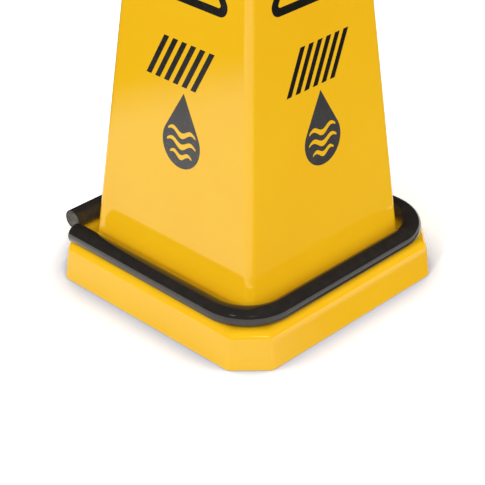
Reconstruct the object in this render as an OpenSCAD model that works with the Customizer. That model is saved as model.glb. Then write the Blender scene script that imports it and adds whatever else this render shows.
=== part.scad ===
// Four-sided stacking floor safety cone, with the loose weight ring that lies round its foot.
// Millimetres, +Z up. The origin is the middle of the base, on the floor.

/* [Cone] */
// Overall height
cone_h = 914; // [700:1:1000]
// Width that the faces would have if they ran down to the floor
cone_w = 241.2; // [230:0.1:246]
// Width lost by the four faces for each millimetre of height
taper = 0.185; // [0.17:0.001:0.2]
// Outside radius of the four upright edges
edge_r = 8; // [4:0.5:12]
// Outside radius round the closed head
head_r = 9; // [5:0.5:12]
// Radius where the faces run out onto the ledge
foot_r = 5; // [3:0.5:7]
// Wall of the moulding
wall = 2.6; // [2:0.1:3]

/* [Base] */
// Width of the base across its flats, at the floor
base_w = 311; // [305:1:330]
// Leg of each cut corner, at the floor
base_cut = 32; // [26:1:40]
// Outside radius of the skirt's upright edges, at the floor
base_r = 10; // [8:0.5:14]
// Slope of the skirt, away from upright
skirt_draft = 7.4; // [5:0.1:8]
// Radius of the shoulder that rolls from the skirt to the ledge
shoulder_r = 10; // [7:0.5:11]
// Height of the flat ledge above the floor
ledge_h = 42; // [38:1:50]

/* [Stacking ribs] */
// Thickness of the ribs under the ledge
rib_t = 2.4; // [1.6:0.1:3.2]
// Height of one cone above the next in a stack, set by the ribs
stack_pitch = 32; // [30:1:34]
// Distance between neighbouring ribs along a side
rib_pitch = 70; // [50:1:80]

/* [Weight ring] */
// Diameter of the steel bar
bar_d = 19; // [16:0.5:20]
// Thickness of the vinyl sleeve on the bar
sleeve_t = 1.5; // [1:0.1:2]
// Width of the ring between the middles of its opposite runs
ring_w = 281; // [276:1:286]
// Bend radius at the middle of the bar
bend_r = 48; // [40:1:56]
// Distance from the ring's middle to the end of its -X run
end_a = 125; // [100:1:126]
// Distance from the ring's middle to the end of its -Y run
end_b = 117; // [100:1:126]
// How far the loose ring lies off the middle of the cone, towards -X and towards -Y
ring_shift = 1.3; // [0:0.1:3]
// Gap left under the resting ring
rest_gap = 0.3; // [0.1:0.1:0.5]

/* [Hidden] */
$fn = 96;

// Points on each eighth of a section, and steps round each arc of a profile
corner_n = 4;
arc_n = 5;
// A cut corner shortens by this much for each millimetre that its outline moves in
CUT_RATE = 2 - sqrt(2);
// Flat left between the two halves of a rounded edge
edge_flat = 0.4;
// Least radius on an upright edge
edge_min = 1.2;

face_tilt = atan(taper / 2);
base_half = base_w / 2;
head_half = cone_w / 2 - cone_h * taper / 2;
ring_z = ledge_h + rest_gap + bar_d / 2 + sleeve_t;

function face_half(z) = cone_w / 2 - z * taper / 2;

// ---- Profile: half-width and height of the wall, outside or one wall thickness in ----

function arc_pts(c, r, from, to) =
    [for (i = [0:arc_n]) let (a = from + (to - from) * i / arc_n) c + r * [cos(a), sin(a)]];

// Middles of the three arcs in the profile: shoulder, foot and head
shoulder_c = [
    base_half - (ledge_h - shoulder_r) * tan(skirt_draft) - shoulder_r / cos(skirt_draft),
    ledge_h - shoulder_r
];
foot_c = [face_half(ledge_h + foot_r) + foot_r / cos(face_tilt), ledge_h + foot_r];
head_c = [face_half(cone_h - head_r) - head_r / cos(face_tilt), cone_h - head_r];

// Skirt and ledge, then faces and head, at a depth d inside the outer surface
function base_profile(d) = concat(
    [[base_half - d / cos(skirt_draft), 0]],
    arc_pts(shoulder_c, shoulder_r - d, skirt_draft, 90)
);
function cone_profile(d) = concat(
    arc_pts(foot_c, foot_r + d, 270, 180 + face_tilt),
    arc_pts(head_c, head_r - d, face_tilt, 90)
);

// ---- Sections: a square with cut and rounded corners, at one height ----

// h is the half-width, cut the leg of its corners and r their radius
function section(h, cut, r, z) = [
    for (q = [0:3], e = [0:1], i = [0:corner_n])
        let (
            a = 90 * q + 45 * (e + i / corner_n),
            m = h - r,
            n = h - r - (cut - CUT_RATE * r),
            x = e == 0 ? m : n,
            y = e == 0 ? n : m
        )
        [
            x * cos(90 * q) - y * sin(90 * q) + r * cos(a),
            x * sin(90 * q) + y * cos(90 * q) + r * sin(a),
            z
        ]
];

function base_section(p, d) =
    let (inset = base_half - d - p[0])
    section(p[0], base_cut - CUT_RATE * (d + inset), max(base_r - d - inset, edge_min), p[1]);

function cone_section(p, d) =
    let (r = p[1] < foot_c[1] ? edge_r + p[0] - face_half(p[1]) : edge_r - d)
    section(p[0], CUT_RATE * r + edge_flat, r, p[1]);

function shell_sections(d) = concat(
    [for (p = base_profile(d)) base_section(p, d)],
    [for (p = cone_profile(d)) cone_section(p, d)]
);

function reversed(list) = [for (i = [len(list) - 1:-1:0]) list[i]];

// Skin through equal sections, closed by the first and the last of them
module skin(sections) {
    n = len(sections[0]);
    last = len(sections) - 1;
    side = [
        for (k = [0:last - 1], i = [0:n - 1])
            let (a = k * n + i, b = k * n + (i + 1) % n)
            each [[a, b, a + n], [b, b + n, a + n]]
    ];
    polyhedron(
        points = [for (s = sections) each s],
        faces = concat([[for (i = [n - 1:-1:0]) i]], side, [[for (i = [0:n - 1]) last * n + i]]),
        convexity = 6
    );
}

// Rib across the channel under the ledge: it stands on the ledge of the cone below in a stack
module stacking_rib() {
    inner = face_half(ledge_h) + foot_r + 1;
    low = ledge_h - stack_pitch;
    lean = tan(skirt_draft);
    rotate([90, 0, 0])
        linear_extrude(rib_t, center = true)
            polygon([
                [inner, low],
                [base_half - low * lean - wall / 2, low],
                [base_half - (ledge_h - shoulder_r) * lean - wall / 2, ledge_h - shoulder_r],
                [base_half - ledge_h * lean - shoulder_r * 0.7, ledge_h - wall / 2],
                [inner, ledge_h - wall / 2]
            ]);
}

module cone() {
    color([0.96, 0.75, 0.12])
    union() {
        skin(concat(reversed(shell_sections(0)), shell_sections(wall)));
        for (q = [0:3], k = [-1:1])
            rotate(90 * q)
                translate([0, k * rib_pitch, 0])
                    stacking_rib();
    }
}

// ---- Weight ring: one bar with three bends, open at the fourth corner ----

// A round tube or bar along the ring's path; bore is 0 for the solid bar
module ring_path(outer, bore) {
    half = ring_w / 2;
    straight = half - bend_r;

    module cut() {
        difference() {
            circle(outer);
            if (bore > 0)
                circle(bore);
        }
    }
    // A run along +Y on the ring's +X side, turned to side q
    module run(q, from, to) {
        rotate(90 * q)
            translate([half, from, 0])
                rotate([-90, 0, 0])
                    linear_extrude(to - from)
                        cut();
    }
    module bend(q) {
        rotate(90 * q)
            translate([straight, straight, 0])
                rotate_extrude(angle = 90)
                    translate([bend_r, 0])
                        cut();
    }
    translate([-ring_shift, -ring_shift, ring_z])
        union() {
            run(0, -straight, straight);
            bend(0);
            run(1, -straight, straight);
            bend(1);
            run(2, -straight, end_a);
            bend(3);
            run(3, -end_b, straight);
        }
}

module ring_bar() {
    color([0.40, 0.39, 0.38])
        ring_path(bar_d / 2, 0);
}

module ring_sleeve() {
    color([0.13, 0.13, 0.14])
        ring_path(bar_d / 2 + sleeve_t, bar_d / 2);
}

cone();
ring_bar();
ring_sleeve();
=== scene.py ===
import math

import bmesh
import bpy
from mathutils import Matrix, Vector
from mathutils.geometry import delaunay_2d_cdt


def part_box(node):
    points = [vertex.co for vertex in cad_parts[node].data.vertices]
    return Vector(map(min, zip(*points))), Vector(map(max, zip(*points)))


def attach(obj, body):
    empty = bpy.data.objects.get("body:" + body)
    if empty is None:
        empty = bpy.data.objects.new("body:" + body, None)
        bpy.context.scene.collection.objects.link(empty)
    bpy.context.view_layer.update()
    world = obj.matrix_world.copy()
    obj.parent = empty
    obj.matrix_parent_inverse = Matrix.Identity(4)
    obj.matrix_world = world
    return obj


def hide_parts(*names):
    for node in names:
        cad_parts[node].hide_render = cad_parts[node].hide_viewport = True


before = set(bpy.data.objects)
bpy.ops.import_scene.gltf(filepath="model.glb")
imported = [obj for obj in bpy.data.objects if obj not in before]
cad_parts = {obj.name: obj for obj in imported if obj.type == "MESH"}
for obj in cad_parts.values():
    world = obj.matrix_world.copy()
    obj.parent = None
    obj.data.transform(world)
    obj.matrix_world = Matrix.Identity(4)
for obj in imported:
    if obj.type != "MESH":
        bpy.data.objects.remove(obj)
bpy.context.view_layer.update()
coneLow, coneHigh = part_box("cone")
ringLow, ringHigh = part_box("ring_sleeve")
scene = bpy.context.scene

# small helpers


def addNode(tree, kind, settings=None, inputs=None):
    node = tree.nodes.new(kind)
    for name, value in (settings or {}).items():
        setattr(node, name, value)
    for name, value in (inputs or {}).items():
        node.inputs[name].default_value = value
    return node


def join(tree, outSocket, inSocket):
    tree.links.new(outSocket, inSocket)


def colour(red, green, blue):  # display values from 0 to 255, to the linear values that a socket takes
    def linear(value):
        value = value / 255
        return value / 12.92 if value <= 0.04045 else ((value + 0.055) / 1.055) ** 2.4

    return (linear(red), linear(green), linear(blue), 1.0)


def meshPiece(name, points, faces, material, smooth=True):
    mesh = bpy.data.meshes.new(name)
    mesh.from_pydata(points, [], faces)
    mesh.validate()
    mesh.polygons.foreach_set("use_smooth", [smooth] * len(mesh.polygons))
    mesh.materials.append(material)
    piece = bpy.data.objects.new(name, mesh)
    scene.collection.objects.link(piece)
    return piece


def settle(piece):  # turns the result of a piece's modifiers into its own plain mesh
    graph = bpy.context.evaluated_depsgraph_get()
    result = bpy.data.meshes.new_from_object(piece.evaluated_get(graph), depsgraph=graph)
    result.name = piece.name
    piece.modifiers.clear()
    piece.data = result
    return piece


def dress(piece, body, slot, *nodes):
    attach(piece, body)
    if nodes:
        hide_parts(*nodes)


# finishes

finishSet = {
    "plasticMain": colour(250, 196, 28),
    "plasticDeep": colour(248, 191, 25),
    "plasticIor": 1.5,
    "vinylMain": colour(40, 37, 35),
    "vinylDust": colour(50, 46, 43),
    "steelMain": colour(98, 94, 91),
    "steelDark": colour(66, 63, 60),
    "inkCharcoal": colour(62, 61, 62),
    "inkCharcoalWorn": colour(72, 71, 72),
    "inkBlack": colour(24, 23, 23),
    "inkBlackWorn": colour(33, 31, 30),
}


def newFinish(name):
    material = bpy.data.materials.new(name)
    material.use_nodes = True
    tree = material.node_tree
    tree.nodes.clear()
    output = addNode(tree, "ShaderNodeOutputMaterial")
    shader = addNode(tree, "ShaderNodeBsdfPrincipled")
    join(tree, shader.outputs["BSDF"], output.inputs["Surface"])
    place = addNode(tree, "ShaderNodeTexCoord")
    return material, tree, shader, place.outputs["Object"]


def stretched(tree, place, scale):
    mapping = addNode(tree, "ShaderNodeMapping")
    mapping.inputs["Scale"].default_value = scale
    join(tree, place, mapping.inputs["Vector"])
    return mapping.outputs["Vector"]


def noise(tree, place, scale, detail=2.0, roughness=0.5):
    inputs = {"Scale": scale, "Detail": detail, "Roughness": roughness}
    node = addNode(tree, "ShaderNodeTexNoise", None, inputs)
    join(tree, place, node.inputs["Vector"])
    return node.outputs["Fac"]


def ranged(tree, value, fromLow, fromHigh, toLow, toHigh):
    node = addNode(tree, "ShaderNodeMapRange", {"clamp": True})
    names = ("From Min", "From Max", "To Min", "To Max")
    for name, number in zip(names, (fromLow, fromHigh, toLow, toHigh)):
        node.inputs[name].default_value = number
    join(tree, value, node.inputs["Value"])
    return node.outputs["Result"]


def blendColour(tree, share, first, second):
    node = addNode(tree, "ShaderNodeMix", {"data_type": "RGBA"})
    join(tree, share, node.inputs["Factor"])
    node.inputs["A"].default_value = first
    node.inputs["B"].default_value = second
    return next(socket for socket in node.outputs if socket.type == "RGBA")


def bump(tree, shader, height, strength, distance, before=None):
    node = addNode(tree, "ShaderNodeBump", None, {"Strength": strength, "Distance": distance})
    join(tree, height, node.inputs["Height"])
    if before is not None:
        join(tree, before, node.inputs["Normal"])
    join(tree, node.outputs["Normal"], shader.inputs["Normal"])
    return node.outputs["Normal"]


def makePlastic():
    material, tree, shader, place = newFinish("glossyYellowPlastic")
    patches = ranged(tree, noise(tree, place, 7.0, 3.0), 0.35, 0.65, 0.0, 1.0)
    join(tree, blendColour(tree, patches, finishSet["plasticMain"], finishSet["plasticDeep"]),
         shader.inputs["Base Color"])
    handling = noise(tree, stretched(tree, place, (1.0, 1.0, 0.35)), 24.0, 5.0, 0.6)
    join(tree, ranged(tree, handling, 0.35, 0.75, 0.07, 0.12), shader.inputs["Roughness"])
    shader.inputs["IOR"].default_value = finishSet["plasticIor"]
    skin = bump(tree, shader, noise(tree, place, 420.0, 2.0), 0.05, 0.0002)
    bump(tree, shader, noise(tree, place, 16.0, 1.0), 0.06, 0.002, skin)
    return material


def makeVinyl():
    material, tree, shader, place = newFinish("blackVinyl")
    dust = ranged(tree, noise(tree, place, 90.0, 6.0, 0.7), 0.45, 0.8, 0.0, 1.0)
    join(tree, blendColour(tree, dust, finishSet["vinylMain"], finishSet["vinylDust"]),
         shader.inputs["Base Color"])
    join(tree, ranged(tree, noise(tree, place, 45.0, 4.0), 0.3, 0.7, 0.05, 0.10), shader.inputs["Roughness"])
    shader.inputs["IOR"].default_value = 1.5
    bump(tree, shader, noise(tree, place, 700.0, 3.0), 0.08, 0.0002)
    return material


def makeSteel():
    material, tree, shader, place = newFinish("sawnSteel")
    cuts = addNode(tree, "ShaderNodeTexWave", {"bands_direction": "Z"},
                   {"Scale": 260.0, "Distortion": 2.5, "Detail": 2.0, "Detail Scale": 2.0})
    join(tree, place, cuts.inputs["Vector"])
    stain = ranged(tree, noise(tree, place, 160.0, 5.0, 0.65), 0.4, 0.7, 0.0, 1.0)
    join(tree, blendColour(tree, stain, finishSet["steelMain"], finishSet["steelDark"]),
         shader.inputs["Base Color"])
    join(tree, ranged(tree, stain, 0.0, 1.0, 0.45, 0.7), shader.inputs["Roughness"])
    shader.inputs["Metallic"].default_value = 0.6
    bump(tree, shader, cuts.outputs["Fac"], 0.25, 0.0002)
    return material


def makeInk(name, main, worn):
    material, tree, shader, place = newFinish(name)
    wear = ranged(tree, noise(tree, place, 55.0, 6.0, 0.7), 0.45, 0.75, 0.0, 1.0)
    join(tree, blendColour(tree, wear, main, worn), shader.inputs["Base Color"])
    join(tree, ranged(tree, wear, 0.0, 1.0, 0.24, 0.34), shader.inputs["Roughness"])
    shader.inputs["IOR"].default_value = 1.45
    bump(tree, shader, noise(tree, place, 900.0, 2.0), 0.05, 0.0001)
    return material


plastic = makePlastic()
vinyl = makeVinyl()
steel = makeSteel()
charcoalInk = makeInk("charcoalInk", finishSet["inkCharcoal"], finishSet["inkCharcoalWorn"])
blackInk = makeInk("blackInk", finishSet["inkBlack"], finishSet["inkBlackWorn"])
print("finishes ready")

# cone shell: one moulding, skirt, ledge, faces and head

cone = {
    "height": coneHigh.z,
    "baseWidth": coneHigh.x - coneLow.x,
    "footWidth": 0.2412,  # width of the faces if they ran down to the floor
    "taper": 0.185,
    "edgeRadius": 0.008,
    "headRadius": 0.009,
    "footRadius": 0.005,
    "wall": 0.0026,
    "cut": 0.032,
    "baseRadius": 0.010,
    "draft": 7.4,
    "shoulderRadius": 0.010,
    "ledge": 0.042,
    "rimRadius": 0.0008,
    "leastRadius": 0.0012,
    "edgeFlat": 0.0004,  # flat left between the two halves of a rounded edge
    "cornerSteps": 8,
    "arcSteps": 12,
    "guard": 0.0004,  # support edge beside each rounding, so the flats shade flat
}
cutRate = 2 - math.sqrt(2)
faceTilt = math.atan(cone["taper"] / 2)


def faceHalf(z):
    return (cone["footWidth"] - z * cone["taper"]) / 2


def arc(centre, radius, start, end, steps):
    turns = [math.radians(start + (end - start) * i / steps) for i in range(steps + 1)]
    return [(centre[0] + radius * math.cos(t), centre[1] + radius * math.sin(t)) for t in turns]


def guarded(points, ends):  # adds a support point on the flats at the named ends of a run of points
    run = list(points)
    for end in ends:
        near, far = (run[0], end[1]) if end[0] == "start" else (run[-1], end[1])
        length = math.dist(near, far)
        share = cone["guard"] / length
        extra = tuple(n + (f - n) * share for n, f in zip(near, far))
        run = [extra] + run if end[0] == "start" else run + [extra]
    return run


# (half-width, height, belongs to the base) from the floor to the head, at a depth inside the outer surface
def shellProfile(depth):
    half = cone["baseWidth"] / 2
    lean = math.radians(cone["draft"])
    tilt = math.degrees(faceTilt)
    shoulder = cone["shoulderRadius"]
    shoulderAt = (half - (cone["ledge"] - shoulder) * math.tan(lean) - shoulder / math.cos(lean),
                  cone["ledge"] - shoulder)
    footZ = cone["ledge"] + cone["footRadius"]
    footAt = (faceHalf(footZ) + cone["footRadius"] / math.cos(faceTilt), footZ)
    headZ = cone["height"] - cone["headRadius"]
    headAt = (faceHalf(headZ) - cone["headRadius"] / math.cos(faceTilt), headZ)
    steps = cone["arcSteps"]
    floorX = half - depth / math.cos(lean)
    shoulderArc = arc(shoulderAt, shoulder - depth, cone["draft"], 90, steps)
    footArc = arc(footAt, cone["footRadius"] + depth, 270, 180 + tilt, steps)
    headArc = arc(headAt, cone["headRadius"] - depth, tilt, 90, steps)
    if depth == 0:  # the lower edge of the skirt is eased
        rim = cone["rimRadius"]
        rimAt = (floorX - rim * (1 + math.tan(lean)), rim)
        base = arc(rimAt, rim, -90, cone["draft"], 4)
    else:
        base = [(floorX, 0.0)]
    base = guarded(base, [("end", shoulderArc[0])])
    shoulderArc = guarded(shoulderArc, [("start", base[-1]), ("end", footArc[0])])
    footArc = guarded(footArc, [("start", shoulderArc[-1]), ("end", headArc[0])])
    headArc = guarded(headArc, [("start", footArc[-1])])
    return [(x, z, True) for x, z in base + shoulderArc] + [(x, z, False) for x, z in footArc + headArc]


def shellSection(x, z, inBase, depth):  # one closed outline: a square with cut and rounded corners
    if inBase:
        inset = cone["baseWidth"] / 2 - x
        cut = cone["cut"] - cutRate * inset
        radius = max(cone["baseRadius"] - inset, cone["leastRadius"])
    else:
        footZ = cone["ledge"] + cone["footRadius"]
        radius = cone["edgeRadius"] - depth
        if z < footZ:
            radius = cone["edgeRadius"] + x - faceHalf(z)
        cut = cutRate * radius + cone["edgeFlat"]
    points = []
    steps = cone["cornerSteps"]
    for quarter in range(4):
        for end in (0, 1):
            first, second = x - radius, x - radius - (cut - cutRate * radius)
            cx, cy = (first, second) if end == 0 else (second, first)
            turn = math.radians(90 * quarter)
            cos, sin = math.cos(turn), math.sin(turn)
            run = []
            for i in range(steps + 1):
                a = turn + math.radians(45 * (end + i / steps))
                run.append((cx * cos - cy * sin + radius * math.cos(a),
                            cx * sin + cy * cos + radius * math.sin(a)))
            along = cone["guard"]
            if end == 0:  # support point on the long flat before the corner
                run = [(run[0][0] + along * sin, run[0][1] - along * cos)] + run
            else:
                nextTurn = math.radians(90 * (quarter + 1))
                endX, endY = run[-1]
                run = run + [(endX - along * math.sin(nextTurn), endY + along * math.cos(nextTurn))]
            points += [(px, py, z) for px, py in run]
    return points


def makeConeShell():
    outer = [shellSection(x, z, inBase, 0) for x, z, inBase in shellProfile(0)]
    inner = [shellSection(x, z, inBase, cone["wall"]) for x, z, inBase in shellProfile(cone["wall"])]
    rings = outer[::-1] + inner
    count = len(rings[0])
    points = [p for ring in rings for p in ring]
    faces = [[i for i in range(count)]]
    for k in range(len(rings) - 1):
        for i in range(count):
            j = (i + 1) % count
            a = k * count
            faces.append([a + i, a + count + i, a + count + j, a + j])
    last = (len(rings) - 1) * count
    faces.append([last + i for i in reversed(range(count))])
    return meshPiece("coneShell", points, faces, plastic)


coneShell = makeConeShell()
print("cone shell made")

# rows of equal parts on all four sides, for the ribs and for the printed bars


def sideRowTree():
    tree = bpy.data.node_groups.new("rowsOnFourSides", "GeometryNodeTree")
    face = tree.interface
    face.new_socket("Part", in_out="INPUT", socket_type="NodeSocketGeometry")
    sockets = {}
    for name, kind in (("Count", "Int"), ("Pitch", "Float"), ("Material", "Material")):
        sockets[name] = face.new_socket(name, in_out="INPUT", socket_type="NodeSocket" + kind).identifier
    face.new_socket("Rows", in_out="OUTPUT", socket_type="NodeSocketGeometry")
    start = addNode(tree, "NodeGroupInput")
    end = addNode(tree, "NodeGroupOutput")
    gaps = addNode(tree, "ShaderNodeMath", {"operation": "SUBTRACT"})
    gaps.inputs[1].default_value = 1.0
    length = addNode(tree, "ShaderNodeMath", {"operation": "MULTIPLY"})
    lead = addNode(tree, "ShaderNodeMath", {"operation": "MULTIPLY"})
    lead.inputs[1].default_value = -0.5
    step = addNode(tree, "ShaderNodeCombineXYZ")
    first = addNode(tree, "ShaderNodeCombineXYZ")
    row = addNode(tree, "GeometryNodeMeshLine", {"mode": "OFFSET"})
    join(tree, start.outputs["Count"], gaps.inputs[0])
    join(tree, gaps.outputs[0], length.inputs[0])
    join(tree, start.outputs["Pitch"], length.inputs[1])
    join(tree, length.outputs[0], lead.inputs[0])
    join(tree, start.outputs["Pitch"], step.inputs["Y"])
    join(tree, lead.outputs[0], first.inputs["Y"])
    join(tree, start.outputs["Count"], row.inputs["Count"])
    join(tree, step.outputs[0], row.inputs["Offset"])
    join(tree, first.outputs[0], row.inputs["Start Location"])
    sideRow = addNode(tree, "GeometryNodeInstanceOnPoints")
    join(tree, row.outputs["Mesh"], sideRow.inputs["Points"])
    join(tree, start.outputs["Part"], sideRow.inputs["Instance"])
    centre = addNode(tree, "GeometryNodeMeshLine", {"mode": "OFFSET"}, {"Count": 4})
    centre.inputs["Offset"].default_value = (0.0, 0.0, 0.0)
    index = addNode(tree, "GeometryNodeInputIndex")
    quarter = addNode(tree, "ShaderNodeMath", {"operation": "MULTIPLY"})
    quarter.inputs[1].default_value = math.pi / 2
    join(tree, index.outputs[0], quarter.inputs[0])
    turn = addNode(tree, "ShaderNodeCombineXYZ")
    join(tree, quarter.outputs[0], turn.inputs["Z"])
    allSides = addNode(tree, "GeometryNodeInstanceOnPoints")
    join(tree, centre.outputs["Mesh"], allSides.inputs["Points"])
    join(tree, sideRow.outputs["Instances"], allSides.inputs["Instance"])
    join(tree, turn.outputs[0], allSides.inputs["Rotation"])
    real = addNode(tree, "GeometryNodeRealizeInstances")
    paint = addNode(tree, "GeometryNodeSetMaterial")
    join(tree, allSides.outputs["Instances"], real.inputs["Geometry"])
    join(tree, real.outputs["Geometry"], paint.inputs["Geometry"])
    join(tree, start.outputs["Material"], paint.inputs["Material"])
    join(tree, paint.outputs["Geometry"], end.inputs["Rows"])
    return tree, sockets


rowTree, rowSockets = sideRowTree()


def repeatOnSides(piece, count, pitch, material):  # the piece stands mid-row on the +X side
    modifier = piece.modifiers.new("rows", "NODES")
    modifier.node_group = rowTree
    for label, value in (("Count", count), ("Pitch", pitch), ("Material", material)):
        modifier[rowSockets[label]] = value
    return settle(piece)


# stacking ribs under the ledge

ribs = {
    "thickness": 0.0024,
    "low": 0.010,
    "pitch": 0.070,
    "count": 3,
    "inset": 0.001,  # gap between the foot rounding and the rib
    "topShare": 0.7,  # how much of the shoulder's radius the top of the rib leaves out
}


def makeRibs():
    half = cone["baseWidth"] / 2
    lean = math.tan(math.radians(cone["draft"]))
    into = cone["wall"] / 2
    top = cone["ledge"] - cone["wall"] / 2
    shoulderZ = cone["ledge"] - cone["shoulderRadius"]
    inner = faceHalf(cone["ledge"]) + cone["footRadius"] + ribs["inset"]
    outline = [
        (inner, ribs["low"]),
        (half - ribs["low"] * lean - into, ribs["low"]),
        (half - shoulderZ * lean - into, shoulderZ),
        (half - cone["ledge"] * lean - cone["shoulderRadius"] * ribs["topShare"], top),
        (inner, top),
    ]
    count = len(outline)
    t = ribs["thickness"] / 2
    points = [(x, -t, z) for x, z in outline] + [(x, t, z) for x, z in outline]
    faces = [list(range(count)), [count + i for i in reversed(range(count))]]
    for i in range(count):
        j = (i + 1) % count
        faces.append([i, count + i, count + j, j])
    piece = meshPiece("stackingRibs", points, faces, plastic, smooth=False)
    return repeatOnSides(piece, ribs["count"], ribs["pitch"], plastic)


stackingRibs = makeRibs()
print("stacking ribs made")

# weight ring: a bent bar in a vinyl sleeve, open at one corner

ring = {
    "width": 0.281,
    "bend": 0.048,
    "endA": 0.125,
    "endB": 0.117,
    "shift": 0.0013,
    "barRadius": 0.0095,
    "sleeve": 0.0015,
    "sleeveGap": 0.00002,  # keeps the sleeve's bore off the bar
    "sleeveEase": 0.0004,
    "barEase": 0.0005,
    "sharpAngle": 40,
    "bendSteps": 28,
    "roundSteps": 48,
}
ringZ = (ringLow.z + ringHigh.z) / 2


def ringTree():
    tree = bpy.data.node_groups.new("bentRod", "GeometryNodeTree")
    face = tree.interface
    face.new_socket("Geometry", in_out="INPUT", socket_type="NodeSocketGeometry")
    sockets = {}
    for name in ("Width", "Bend Radius", "End A", "End B", "Shift", "Height", "Rod Radius"):
        sockets[name] = face.new_socket(name, in_out="INPUT", socket_type="NodeSocketFloat").identifier
    for name in ("Bend Steps", "Round Steps"):
        sockets[name] = face.new_socket(name, in_out="INPUT", socket_type="NodeSocketInt").identifier
    for name, kind in (("Fill Caps", "Bool"), ("Material", "Material")):
        sockets[name] = face.new_socket(name, in_out="INPUT", socket_type="NodeSocket" + kind).identifier
    face.new_socket("Rod", in_out="OUTPUT", socket_type="NodeSocketGeometry")
    start = addNode(tree, "NodeGroupInput")
    end = addNode(tree, "NodeGroupOutput")

    def maths(operation, first, second):
        node = addNode(tree, "ShaderNodeMath", {"operation": operation})
        for socket, value in zip(node.inputs, (first, second)):
            if isinstance(value, float):
                socket.default_value = value
            else:
                join(tree, value, socket)
        return node.outputs[0]

    half = maths("MULTIPLY", start.outputs["Width"], 0.5)
    shift = start.outputs["Shift"]
    plus = maths("SUBTRACT", half, shift)
    minus = maths("SUBTRACT", maths("MULTIPLY", half, -1.0), shift)
    endA = maths("SUBTRACT", maths("MULTIPLY", start.outputs["End A"], -1.0), shift)
    endB = maths("SUBTRACT", maths("MULTIPLY", start.outputs["End B"], -1.0), shift)
    pick = addNode(tree, "GeometryNodeIndexSwitch", {"data_type": "VECTOR"})
    while len(pick.index_switch_items) < 5:
        pick.index_switch_items.new()
    places = ((minus, endA), (minus, plus), (plus, plus), (plus, minus), (endB, minus))
    for slot, (x, y) in enumerate(places):
        corner = addNode(tree, "ShaderNodeCombineXYZ")
        join(tree, x, corner.inputs["X"])
        join(tree, y, corner.inputs["Y"])
        join(tree, start.outputs["Height"], corner.inputs["Z"])
        join(tree, corner.outputs[0], pick.inputs[slot + 1])
    index = addNode(tree, "GeometryNodeInputIndex")
    join(tree, index.outputs[0], pick.inputs["Index"])
    corners = addNode(tree, "GeometryNodePoints", None, {"Count": 5})
    join(tree, pick.outputs[0], corners.inputs["Position"])
    path = addNode(tree, "GeometryNodePointsToCurves")
    bends = addNode(tree, "GeometryNodeFilletCurve", {"mode": "POLY"})
    profile = addNode(tree, "GeometryNodeCurvePrimitiveCircle")
    sweep = addNode(tree, "GeometryNodeCurveToMesh")
    smooth = addNode(tree, "GeometryNodeSetShadeSmooth")
    real = addNode(tree, "GeometryNodeRealizeInstances")
    paint = addNode(tree, "GeometryNodeSetMaterial")
    join(tree, corners.outputs[0], path.inputs["Points"])
    join(tree, path.outputs[0], bends.inputs["Curve"])
    join(tree, start.outputs["Bend Radius"], bends.inputs["Radius"])
    join(tree, start.outputs["Bend Steps"], bends.inputs["Count"])
    join(tree, start.outputs["Round Steps"], profile.inputs["Resolution"])
    join(tree, start.outputs["Rod Radius"], profile.inputs["Radius"])
    join(tree, bends.outputs[0], sweep.inputs["Curve"])
    join(tree, profile.outputs["Curve"], sweep.inputs["Profile Curve"])
    join(tree, start.outputs["Fill Caps"], sweep.inputs["Fill Caps"])
    join(tree, sweep.outputs["Mesh"], smooth.inputs["Geometry"])
    join(tree, smooth.outputs["Geometry"], real.inputs["Geometry"])
    join(tree, real.outputs["Geometry"], paint.inputs["Geometry"])
    join(tree, start.outputs["Material"], paint.inputs["Material"])
    join(tree, paint.outputs["Geometry"], end.inputs["Rod"])
    return tree, sockets


rodTree, rodSockets = ringTree()


def makeRod(name, radius, filled, material):
    mesh = bpy.data.meshes.new(name)
    piece = bpy.data.objects.new(name, mesh)
    scene.collection.objects.link(piece)
    modifier = piece.modifiers.new("rod", "NODES")
    modifier.node_group = rodTree
    values = {
        "Width": ring["width"],
        "Bend Radius": ring["bend"],
        "End A": ring["endA"],
        "End B": ring["endB"],
        "Shift": ring["shift"],
        "Height": ringZ,
        "Rod Radius": radius,
        "Bend Steps": ring["bendSteps"],
        "Round Steps": ring["roundSteps"],
        "Fill Caps": filled,
        "Material": material,
    }
    for label, value in values.items():
        modifier[rodSockets[label]] = value
    return settle(piece)


def easeEnds(piece, width, segments):  # small chamfer or rounding on the sharp end edges of a rod
    shape = bmesh.new()
    shape.from_mesh(piece.data)
    sharp = math.radians(ring["sharpAngle"])
    edges = [e for e in shape.edges if len(e.link_faces) == 2 and e.calc_face_angle() > sharp]
    bmesh.ops.bevel(shape, geom=edges, offset=width, segments=segments, profile=0.5, affect="EDGES")
    bmesh.ops.recalc_face_normals(shape, faces=shape.faces)
    shape.to_mesh(piece.data)
    shape.free()


def makeSleeve():
    piece = makeRod("ringSleeve", ring["barRadius"] + ring["sleeve"], False, vinyl)
    wall = piece.modifiers.new("wall", "SOLIDIFY")
    wall.thickness = ring["sleeve"] - ring["sleeveGap"]
    wall.offset = -1.0
    wall.use_even_offset = True
    settle(piece)
    easeEnds(piece, ring["sleeveEase"], 2)
    return piece


ringBar = makeRod("ringBar", ring["barRadius"], True, steel)
easeEnds(ringBar, ring["barEase"], 1)
ringSleeve = makeSleeve()
print("weight ring made")

# prints on the four faces

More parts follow.
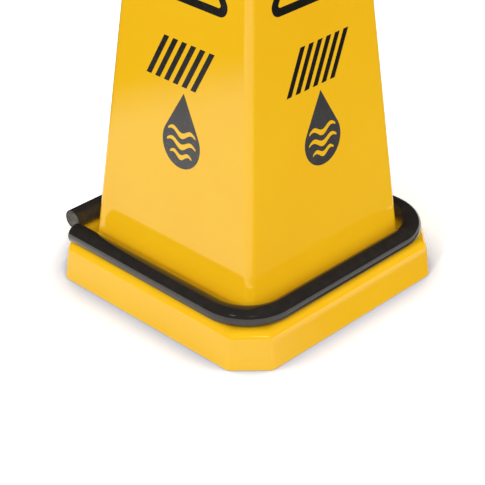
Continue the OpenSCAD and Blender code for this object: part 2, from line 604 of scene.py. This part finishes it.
prints = {
    "ink": 0.00012,  # ink stands this far off the face
    "inkDepth": 0.00005,  # and reaches this far into it
    "waves": (
        # height above the drop's foot, half width, thickness and swing
        (0.038, 0.0195, 0.0062, 0.0030),
        (0.026, 0.0205, 0.0062, 0.0030),
        (0.014, 0.0155, 0.0056, 0.0024),
    ),
    "barLean": 0.5,  # sideways lean of a bar, as a share of its height
    "barShare": 0.55,  # width of a bar, as a share of the pitch
    "dropWidth": 0.053,
    "dropLow": 0.1665,
    "dropHeight": 0.0805,
    "dropShift": (0.0020, -0.0010, 0.0000, 0.0075),  # sideways, on the +X, +Y, -X and -Y faces
    "bars": {"low": 0.253, "height": 0.046, "width": 0.092, "count": 6},
    "upperBars": {"low": 0.505, "height": 0.034, "width": 0.078, "count": 6},
    "signLow": 0.338,
    "signReach": 0.077,  # from the middle of the sign to its sharp corners
    "signRound": 0.010,
    "signInnerRound": 0.0025,
    "signBand": 0.0085,
    "headAt": (0.011, 0.0265),
    "headRadius": 0.0062,
    "headPoints": 24,
    "limbs": (
        # start and end of each limb, from the middle of the sign, and its half thickness
        ((0.0080, 0.0140), (0.0020, -0.0050), 0.0052),
        ((0.0020, -0.0060), (-0.0125, -0.0020), 0.0036),
        ((-0.0125, -0.0020), (-0.0250, -0.0095), 0.0030),
        ((-0.0250, -0.0095), (-0.0285, -0.0045), 0.0024),
        ((0.0020, -0.0060), (-0.0060, -0.0150), 0.0036),
        ((-0.0060, -0.0150), (0.0060, -0.0215), 0.0030),
        ((0.0060, -0.0215), (0.0025, -0.0245), 0.0020),
        ((0.0080, 0.0160), (-0.0040, 0.0130), 0.0026),
        ((-0.0040, 0.0130), (-0.0120, 0.0210), 0.0022),
        ((0.0080, 0.0160), (0.0190, 0.0090), 0.0026),
        ((0.0190, 0.0090), (0.0240, -0.0010), 0.0022),
    ),
}


def onFace(quarter, u, v, lift):  # u along the face, v up its slope from the floor line
    z = v * math.cos(faceTilt)
    out = cone["footWidth"] / 2 - v * math.sin(faceTilt) + lift * math.cos(faceTilt)
    z += lift * math.sin(faceTilt)
    turn = math.radians(90 * quarter)
    return (out * math.cos(turn) - u * math.sin(turn), out * math.sin(turn) + u * math.cos(turn), z)


def slope(z):
    return z / math.cos(faceTilt)


def inkSheet(shapes, holes):  # triangles inside any of the shapes and outside all the holes
    points, loops = [], []
    for outline in shapes + holes:
        loops.append(list(range(len(points), len(points) + len(outline))))
        points += [Vector(p) for p in outline]
    corners, _, triangles, _, _, sources = delaunay_2d_cdt(points, [], loops, 1, 1e-7)
    kept = []
    for triangle, source in zip(triangles, sources):
        if any(s < len(shapes) for s in source) and not any(s >= len(shapes) for s in source):
            kept.append(list(triangle))
    return [tuple(c) for c in corners], kept


def inkPiece(name, sheets, material):  # sheets: (quarter, shift along the face, corners, triangles)
    shape = bmesh.new()
    for quarter, shift, corners, triangles in sheets:
        top = [shape.verts.new(onFace(quarter, u + shift, v, prints["ink"])) for u, v in corners]
        low = [shape.verts.new(onFace(quarter, u + shift, v, -prints["inkDepth"])) for u, v in corners]
        sides = {}
        for t in triangles:
            shape.faces.new([top[i] for i in t])
            shape.faces.new([low[i] for i in reversed(t)])
            for a, b in ((t[0], t[1]), (t[1], t[2]), (t[2], t[0])):
                if (b, a) in sides:
                    del sides[(b, a)]
                else:
                    sides[(a, b)] = True
        for a, b in sides:
            shape.faces.new([top[b], top[a], low[a], low[b]])
    loose = [v for v in shape.verts if not v.link_faces]
    bmesh.ops.delete(shape, geom=loose, context="VERTS")
    mesh = bpy.data.meshes.new(name)
    shape.to_mesh(mesh)
    shape.free()
    mesh.materials.append(material)
    piece = bpy.data.objects.new(name, mesh)
    scene.collection.objects.link(piece)
    return piece


def dropOutline(steps=64):
    width, height = prints["dropWidth"], prints["dropHeight"]
    radius = width / 2
    rise = height - radius  # from the middle of the round part to the tip
    touch = math.asin(radius / rise)
    outline = []
    for i in range(steps + 1):
        a = -math.pi - touch + (math.pi + 2 * touch) * i / steps
        outline.append((radius * math.cos(a), radius + radius * math.sin(a)))
    outline.append((0.0, height))
    return [(u, v + slope(prints["dropLow"])) for u, v in outline]


def waveOutline(v, halfWidth, thickness, swing, waves=1.5, steps=36):
    upper, lower = [], []
    for i in range(steps + 1):
        t = i / steps
        u = halfWidth * (2 * t - 1)
        slim = thickness * (0.35 + 0.65 * math.sin(math.pi * t))
        mid = v + swing * math.sin(2 * math.pi * waves * t)
        upper.append((u, mid + slim / 2))
        lower.append((u, mid - slim / 2))
    return lower + upper[::-1]


def makeDrops():
    sheets = []
    low = slope(prints["dropLow"])
    waves = [waveOutline(low + rise, *size) for rise, *size in prints["waves"]]
    corners, triangles = inkSheet([dropOutline()], waves)
    for quarter in range(4):
        sheets.append((quarter, prints["dropShift"][quarter], corners, triangles))
    return inkPiece("dropBadges", sheets, charcoalInk)


dropBadges = makeDrops()


def makeBars(name, low, width, height, count):  # leaning bars in a row, the same on every side
    lean = height * prints["barLean"]
    pitch = (width - lean) / (count - 0.5)
    thick = pitch * prints["barShare"]
    u, v = -(thick + lean) / 2, slope(low)
    outline = [(u, v), (u + thick, v), (u + thick + lean, v + height), (u + lean, v + height)]
    bar = inkPiece(name, [(0, 0.0, *inkSheet([outline], []))], blackInk)
    return repeatOnSides(bar, count, pitch, blackInk)


hazardBars = makeBars("hazardBars", **prints["bars"])
upperBars = makeBars("upperBars", **prints["upperBars"])


def triangleOutline(middle, reach, radius, steps=8):
    outline = []
    for turn in (90, 210, 330):
        a = math.radians(turn)
        at = (middle[0] + (reach - 2 * radius) * math.cos(a), middle[1] + (reach - 2 * radius) * math.sin(a))
        outline += arc(at, radius, turn - 60, turn + 60, steps)
    return outline


def limbOutline(start, end, radius, steps=8):  # a straight stroke with round ends
    turn = math.degrees(math.atan2(end[1] - start[1], end[0] - start[0]))
    return arc(end, radius, turn - 90, turn + 90, steps) + arc(start, radius, turn + 90, turn + 270, steps)


def makeSlipSigns():  # warning triangle with a slipping figure
    reach, band = prints["signReach"], prints["signBand"]
    middle = (0.0, slope(prints["signLow"]) + reach / 2)

    def placed(outline):
        return [(u + middle[0], v + middle[1]) for u, v in outline]

    border = inkSheet([triangleOutline(middle, reach, prints["signRound"])],
                      [triangleOutline(middle, reach - 2 * band, prints["signInnerRound"])])
    strokes = [placed(limbOutline(*limb)) for limb in prints["limbs"]]
    count = prints["headPoints"]
    head = placed(arc(prints["headAt"], prints["headRadius"], 0, 360 - 360 / count, count - 1))
    figure = inkSheet([head] + strokes, [])
    sheets = [(quarter, 0.0, *sheet) for quarter in range(4) for sheet in (border, figure)]
    return inkPiece("slipSigns", sheets, blackInk)


slipSigns = makeSlipSigns()
print("prints made")

# riding on the bodies

dress(coneShell, "cone_body", "cone_plastic", "cone")
dress(stackingRibs, "cone_body", "cone_plastic")
for printed in (dropBadges, hazardBars, upperBars, slipSigns):
    dress(printed, "cone_body", "cone_plastic")
dress(ringSleeve, "weight_ring", "sleeve_vinyl", "ring_sleeve")
dress(ringBar, "weight_ring", "bar_steel", "ring_bar")

# floor, black drapes and flags, lamps and camera

studio = {
    "floorSize": 60.0,
    "floorBounce": 0.25,  # what the floor gives back to the part
    "floorShown": 1.65,  # past white, so that it clips and the lamps leave no shadow on it
    "contactReach": 0.055,  # how near a thing has to be for the floor to darken under it
    "contactShade": (0.28, 0.34, 0.50),  # painted by ambient occlusion, where a shadow would fall
    "fill": 0.20,
    "suns": (
        # name, direction, angle, level, tint, seen in gloss, casts a shadow
        ("leftKey", (0.200, -0.822, 0.533), 9.0, 0.26, (1.0, 1.0, 1.0), True, True),
        ("rightKey", (0.665, -0.507, 0.549), 9.5, 0.15, (1.0, 1.0, 1.0), True, True),
        ("frontSoftbox", (0.595, -0.611, 0.522), 40.0, 0.33, (1.0, 1.0, 1.0), False, True),
        ("leftSoftbox", (-0.613, -0.712, 0.342), 50.0, 0.18, (1.0, 1.0, 1.0), False, True),
        ("rightSoftbox", (0.728, 0.595, 0.342), 50.0, 0.24, (1.0, 1.0, 1.0), False, True),
        ("leftFill", (-0.613, -0.712, 0.342), 50.0, 0.20, (1.0, 0.94, 0.80), False, False),
        ("rightFill", (0.728, 0.595, 0.342), 50.0, 0.27, (1.0, 0.90, 0.70), False, False),
    ),
    "drapeSize": 9.0,
    "drapeHeight": 3.0,
    "flags": (
        # name, low corner, high corner, near and far end of the fade along the direction, cover at each end:
        # black gauze that lies flat and is seen in gloss alone
        ("leftFlag", (-4.4, -4.4, 0.003), (-0.40, 4.4, 0.003), (-1, 0), (0.43, 0.56), (0.0, 0.97)),
        ("rightFlag", (0.128, -0.14, 0.069), (4.4, 4.4, 0.069), (0.7, 0.7), (0.25, 0.75), (0.88, 0.97)),
        ("skirtFlag", (0.157, -0.16, 0.001), (0.20, 0.30, 0.001), (0, 1), (-0.15, 0.0), (0.0, 0.88)),
    ),
    "cameraAzimuth": 44.255,
    "cameraElevation": 31.478,
    "cameraDistance": 1.8,
    "aimSide": -0.00527,
    "aimHeight": 0.02943,
    "lens": 122.84,
}


def seenRays(tree):  # 1 for camera, glossy and transmission rays
    rays = addNode(tree, "ShaderNodeLightPath")
    first = addNode(tree, "ShaderNodeMath", {"operation": "MAXIMUM"})
    second = addNode(tree, "ShaderNodeMath", {"operation": "MAXIMUM"})
    join(tree, rays.outputs["Is Camera Ray"], first.inputs[0])
    join(tree, rays.outputs["Is Glossy Ray"], first.inputs[1])
    join(tree, first.outputs[0], second.inputs[0])
    join(tree, rays.outputs["Is Transmission Ray"], second.inputs[1])
    return second.outputs[0]


def makeFloor():
    material = bpy.data.materials.new("whiteFloor")
    material.use_nodes = True
    tree = material.node_tree
    tree.nodes.clear()
    output = addNode(tree, "ShaderNodeOutputMaterial")
    matt = addNode(tree, "ShaderNodeBsdfDiffuse")
    contact = addNode(tree, "ShaderNodeAmbientOcclusion", {"samples": 24},
                      {"Distance": studio["contactReach"]})
    shade = blendColour(tree, ranged(tree, contact.outputs["AO"], 0.5, 1.0, 0.0, 1.0),
                        (*studio["contactShade"], 1.0), (1.0, 1.0, 1.0, 1.0))
    shown = addNode(tree, "ShaderNodeVectorMath", {"operation": "SCALE"})
    shown.inputs["Scale"].default_value = studio["floorShown"]
    join(tree, shade, shown.inputs[0])
    bounce = studio["floorBounce"]
    tone = blendColour(tree, seenRays(tree), (bounce, bounce, bounce, 1.0), (1.0, 1.0, 1.0, 1.0))
    join(tree, shown.outputs[0], tone.node.inputs["B"])
    join(tree, tone, matt.inputs["Color"])
    join(tree, matt.outputs[0], output.inputs["Surface"])
    half = studio["floorSize"] / 2
    meshPiece("floor", [(-half, -half, 0), (half, -half, 0), (half, half, 0), (-half, half, 0)],
                       [[0, 1, 2, 3]], material, smooth=False)


def makeBlack(name, fade=None):
    material = bpy.data.materials.new(name)
    material.use_nodes = True
    tree = material.node_tree
    tree.nodes.clear()
    output = addNode(tree, "ShaderNodeOutputMaterial")
    matt = addNode(tree, "ShaderNodeBsdfDiffuse", None, {"Color": colour(12, 12, 12)})
    if fade is None:
        join(tree, matt.outputs[0], output.inputs["Surface"])
        return material
    direction, reach, cover = fade
    place = addNode(tree, "ShaderNodeTexCoord")
    along = addNode(tree, "ShaderNodeVectorMath", {"operation": "DOT_PRODUCT"})
    along.inputs[1].default_value = (direction[0], direction[1], 0.0)
    join(tree, place.outputs["Object"], along.inputs[0])
    share = ranged(tree, along.outputs["Value"], reach[0], reach[1], cover[0], cover[1])
    gaps = addNode(tree, "ShaderNodeBsdfTransparent")
    gauze = addNode(tree, "ShaderNodeMixShader")
    join(tree, share, gauze.inputs[0])
    join(tree, gaps.outputs[0], gauze.inputs[1])
    join(tree, matt.outputs[0], gauze.inputs[2])
    join(tree, gauze.outputs[0], output.inputs["Surface"])
    return material


def makeFlags():
    half, top = studio["drapeSize"] / 2, studio["drapeHeight"]
    rim = [(-half, -half), (half, -half), (half, half), (-half, half)]
    drape = meshPiece("blackDrapes", [(x, y, z) for z in (0.0, top) for x, y in rim],
                      [[0, 1, 5, 4], [1, 2, 6, 5], [2, 3, 7, 6], [3, 0, 4, 7], [4, 5, 6, 7]],
                      makeBlack("blackDrape"), smooth=False)
    blacks = [drape]
    for name, low, high, *fade in studio["flags"]:
        corners = [(low[0], low[1], low[2]), (high[0], low[1], low[2]), (high[0], high[1], low[2]),
                   (low[0], high[1], low[2])]
        blacks.append(meshPiece(name, corners, [[0, 1, 2, 3]], makeBlack(name, fade), smooth=False))
    for black in blacks:
        black.visible_camera = False
        black.visible_diffuse = False
        black.visible_shadow = False
        black.visible_transmission = False


def makeSun(name, direction, angle, level, tint, glossy, shadow):
    data = bpy.data.lights.new(name, "SUN")
    data.angle = math.radians(angle)
    data.energy = level * math.pi
    data.color = tint
    data.use_shadow = shadow
    lamp = bpy.data.objects.new(name, data)
    scene.collection.objects.link(lamp)
    towards = Vector(direction).normalized()
    lamp.location = towards * 2.5
    lamp.rotation_mode = "QUATERNION"
    lamp.rotation_quaternion = towards.to_track_quat("Z", "Y")
    lamp.visible_glossy = glossy


def makeWorld():
    world = bpy.data.worlds.new("studioWorld")
    scene.world = world
    world.use_nodes = True
    tree = world.node_tree
    tree.nodes.clear()
    output = addNode(tree, "ShaderNodeOutputWorld")
    light = addNode(tree, "ShaderNodeBackground")
    join(tree, ranged(tree, seenRays(tree), 0.0, 1.0, studio["fill"], 1.0), light.inputs["Strength"])
    join(tree, light.outputs[0], output.inputs["Surface"])
    light.inputs["Color"].default_value = (1, 1, 1, 1)


def makeCamera():
    azimuth = math.radians(studio["cameraAzimuth"])
    elevation = math.radians(studio["cameraElevation"])
    back = Vector((math.sin(azimuth) * math.cos(elevation), -math.cos(azimuth) * math.cos(elevation),
                   math.sin(elevation)))
    side = Vector((math.cos(azimuth), math.sin(azimuth), 0))
    data = bpy.data.cameras.new("camera")
    data.lens = studio["lens"]
    data.sensor_width = 36.0
    camera = bpy.data.objects.new("camera", data)
    scene.collection.objects.link(camera)
    aim = side * studio["aimSide"] + Vector((0, 0, studio["aimHeight"]))
    camera.location = aim + back * studio["cameraDistance"]
    camera.rotation_mode = "QUATERNION"
    camera.rotation_quaternion = back.to_track_quat("Z", "Y")
    scene.camera = camera


makeFloor()
makeFlags()
for sun in studio["suns"]:
    makeSun(*sun)
makeWorld()
makeCamera()
scene.view_settings.view_transform = "Standard"
print("floor, flags, lamps and camera placed")
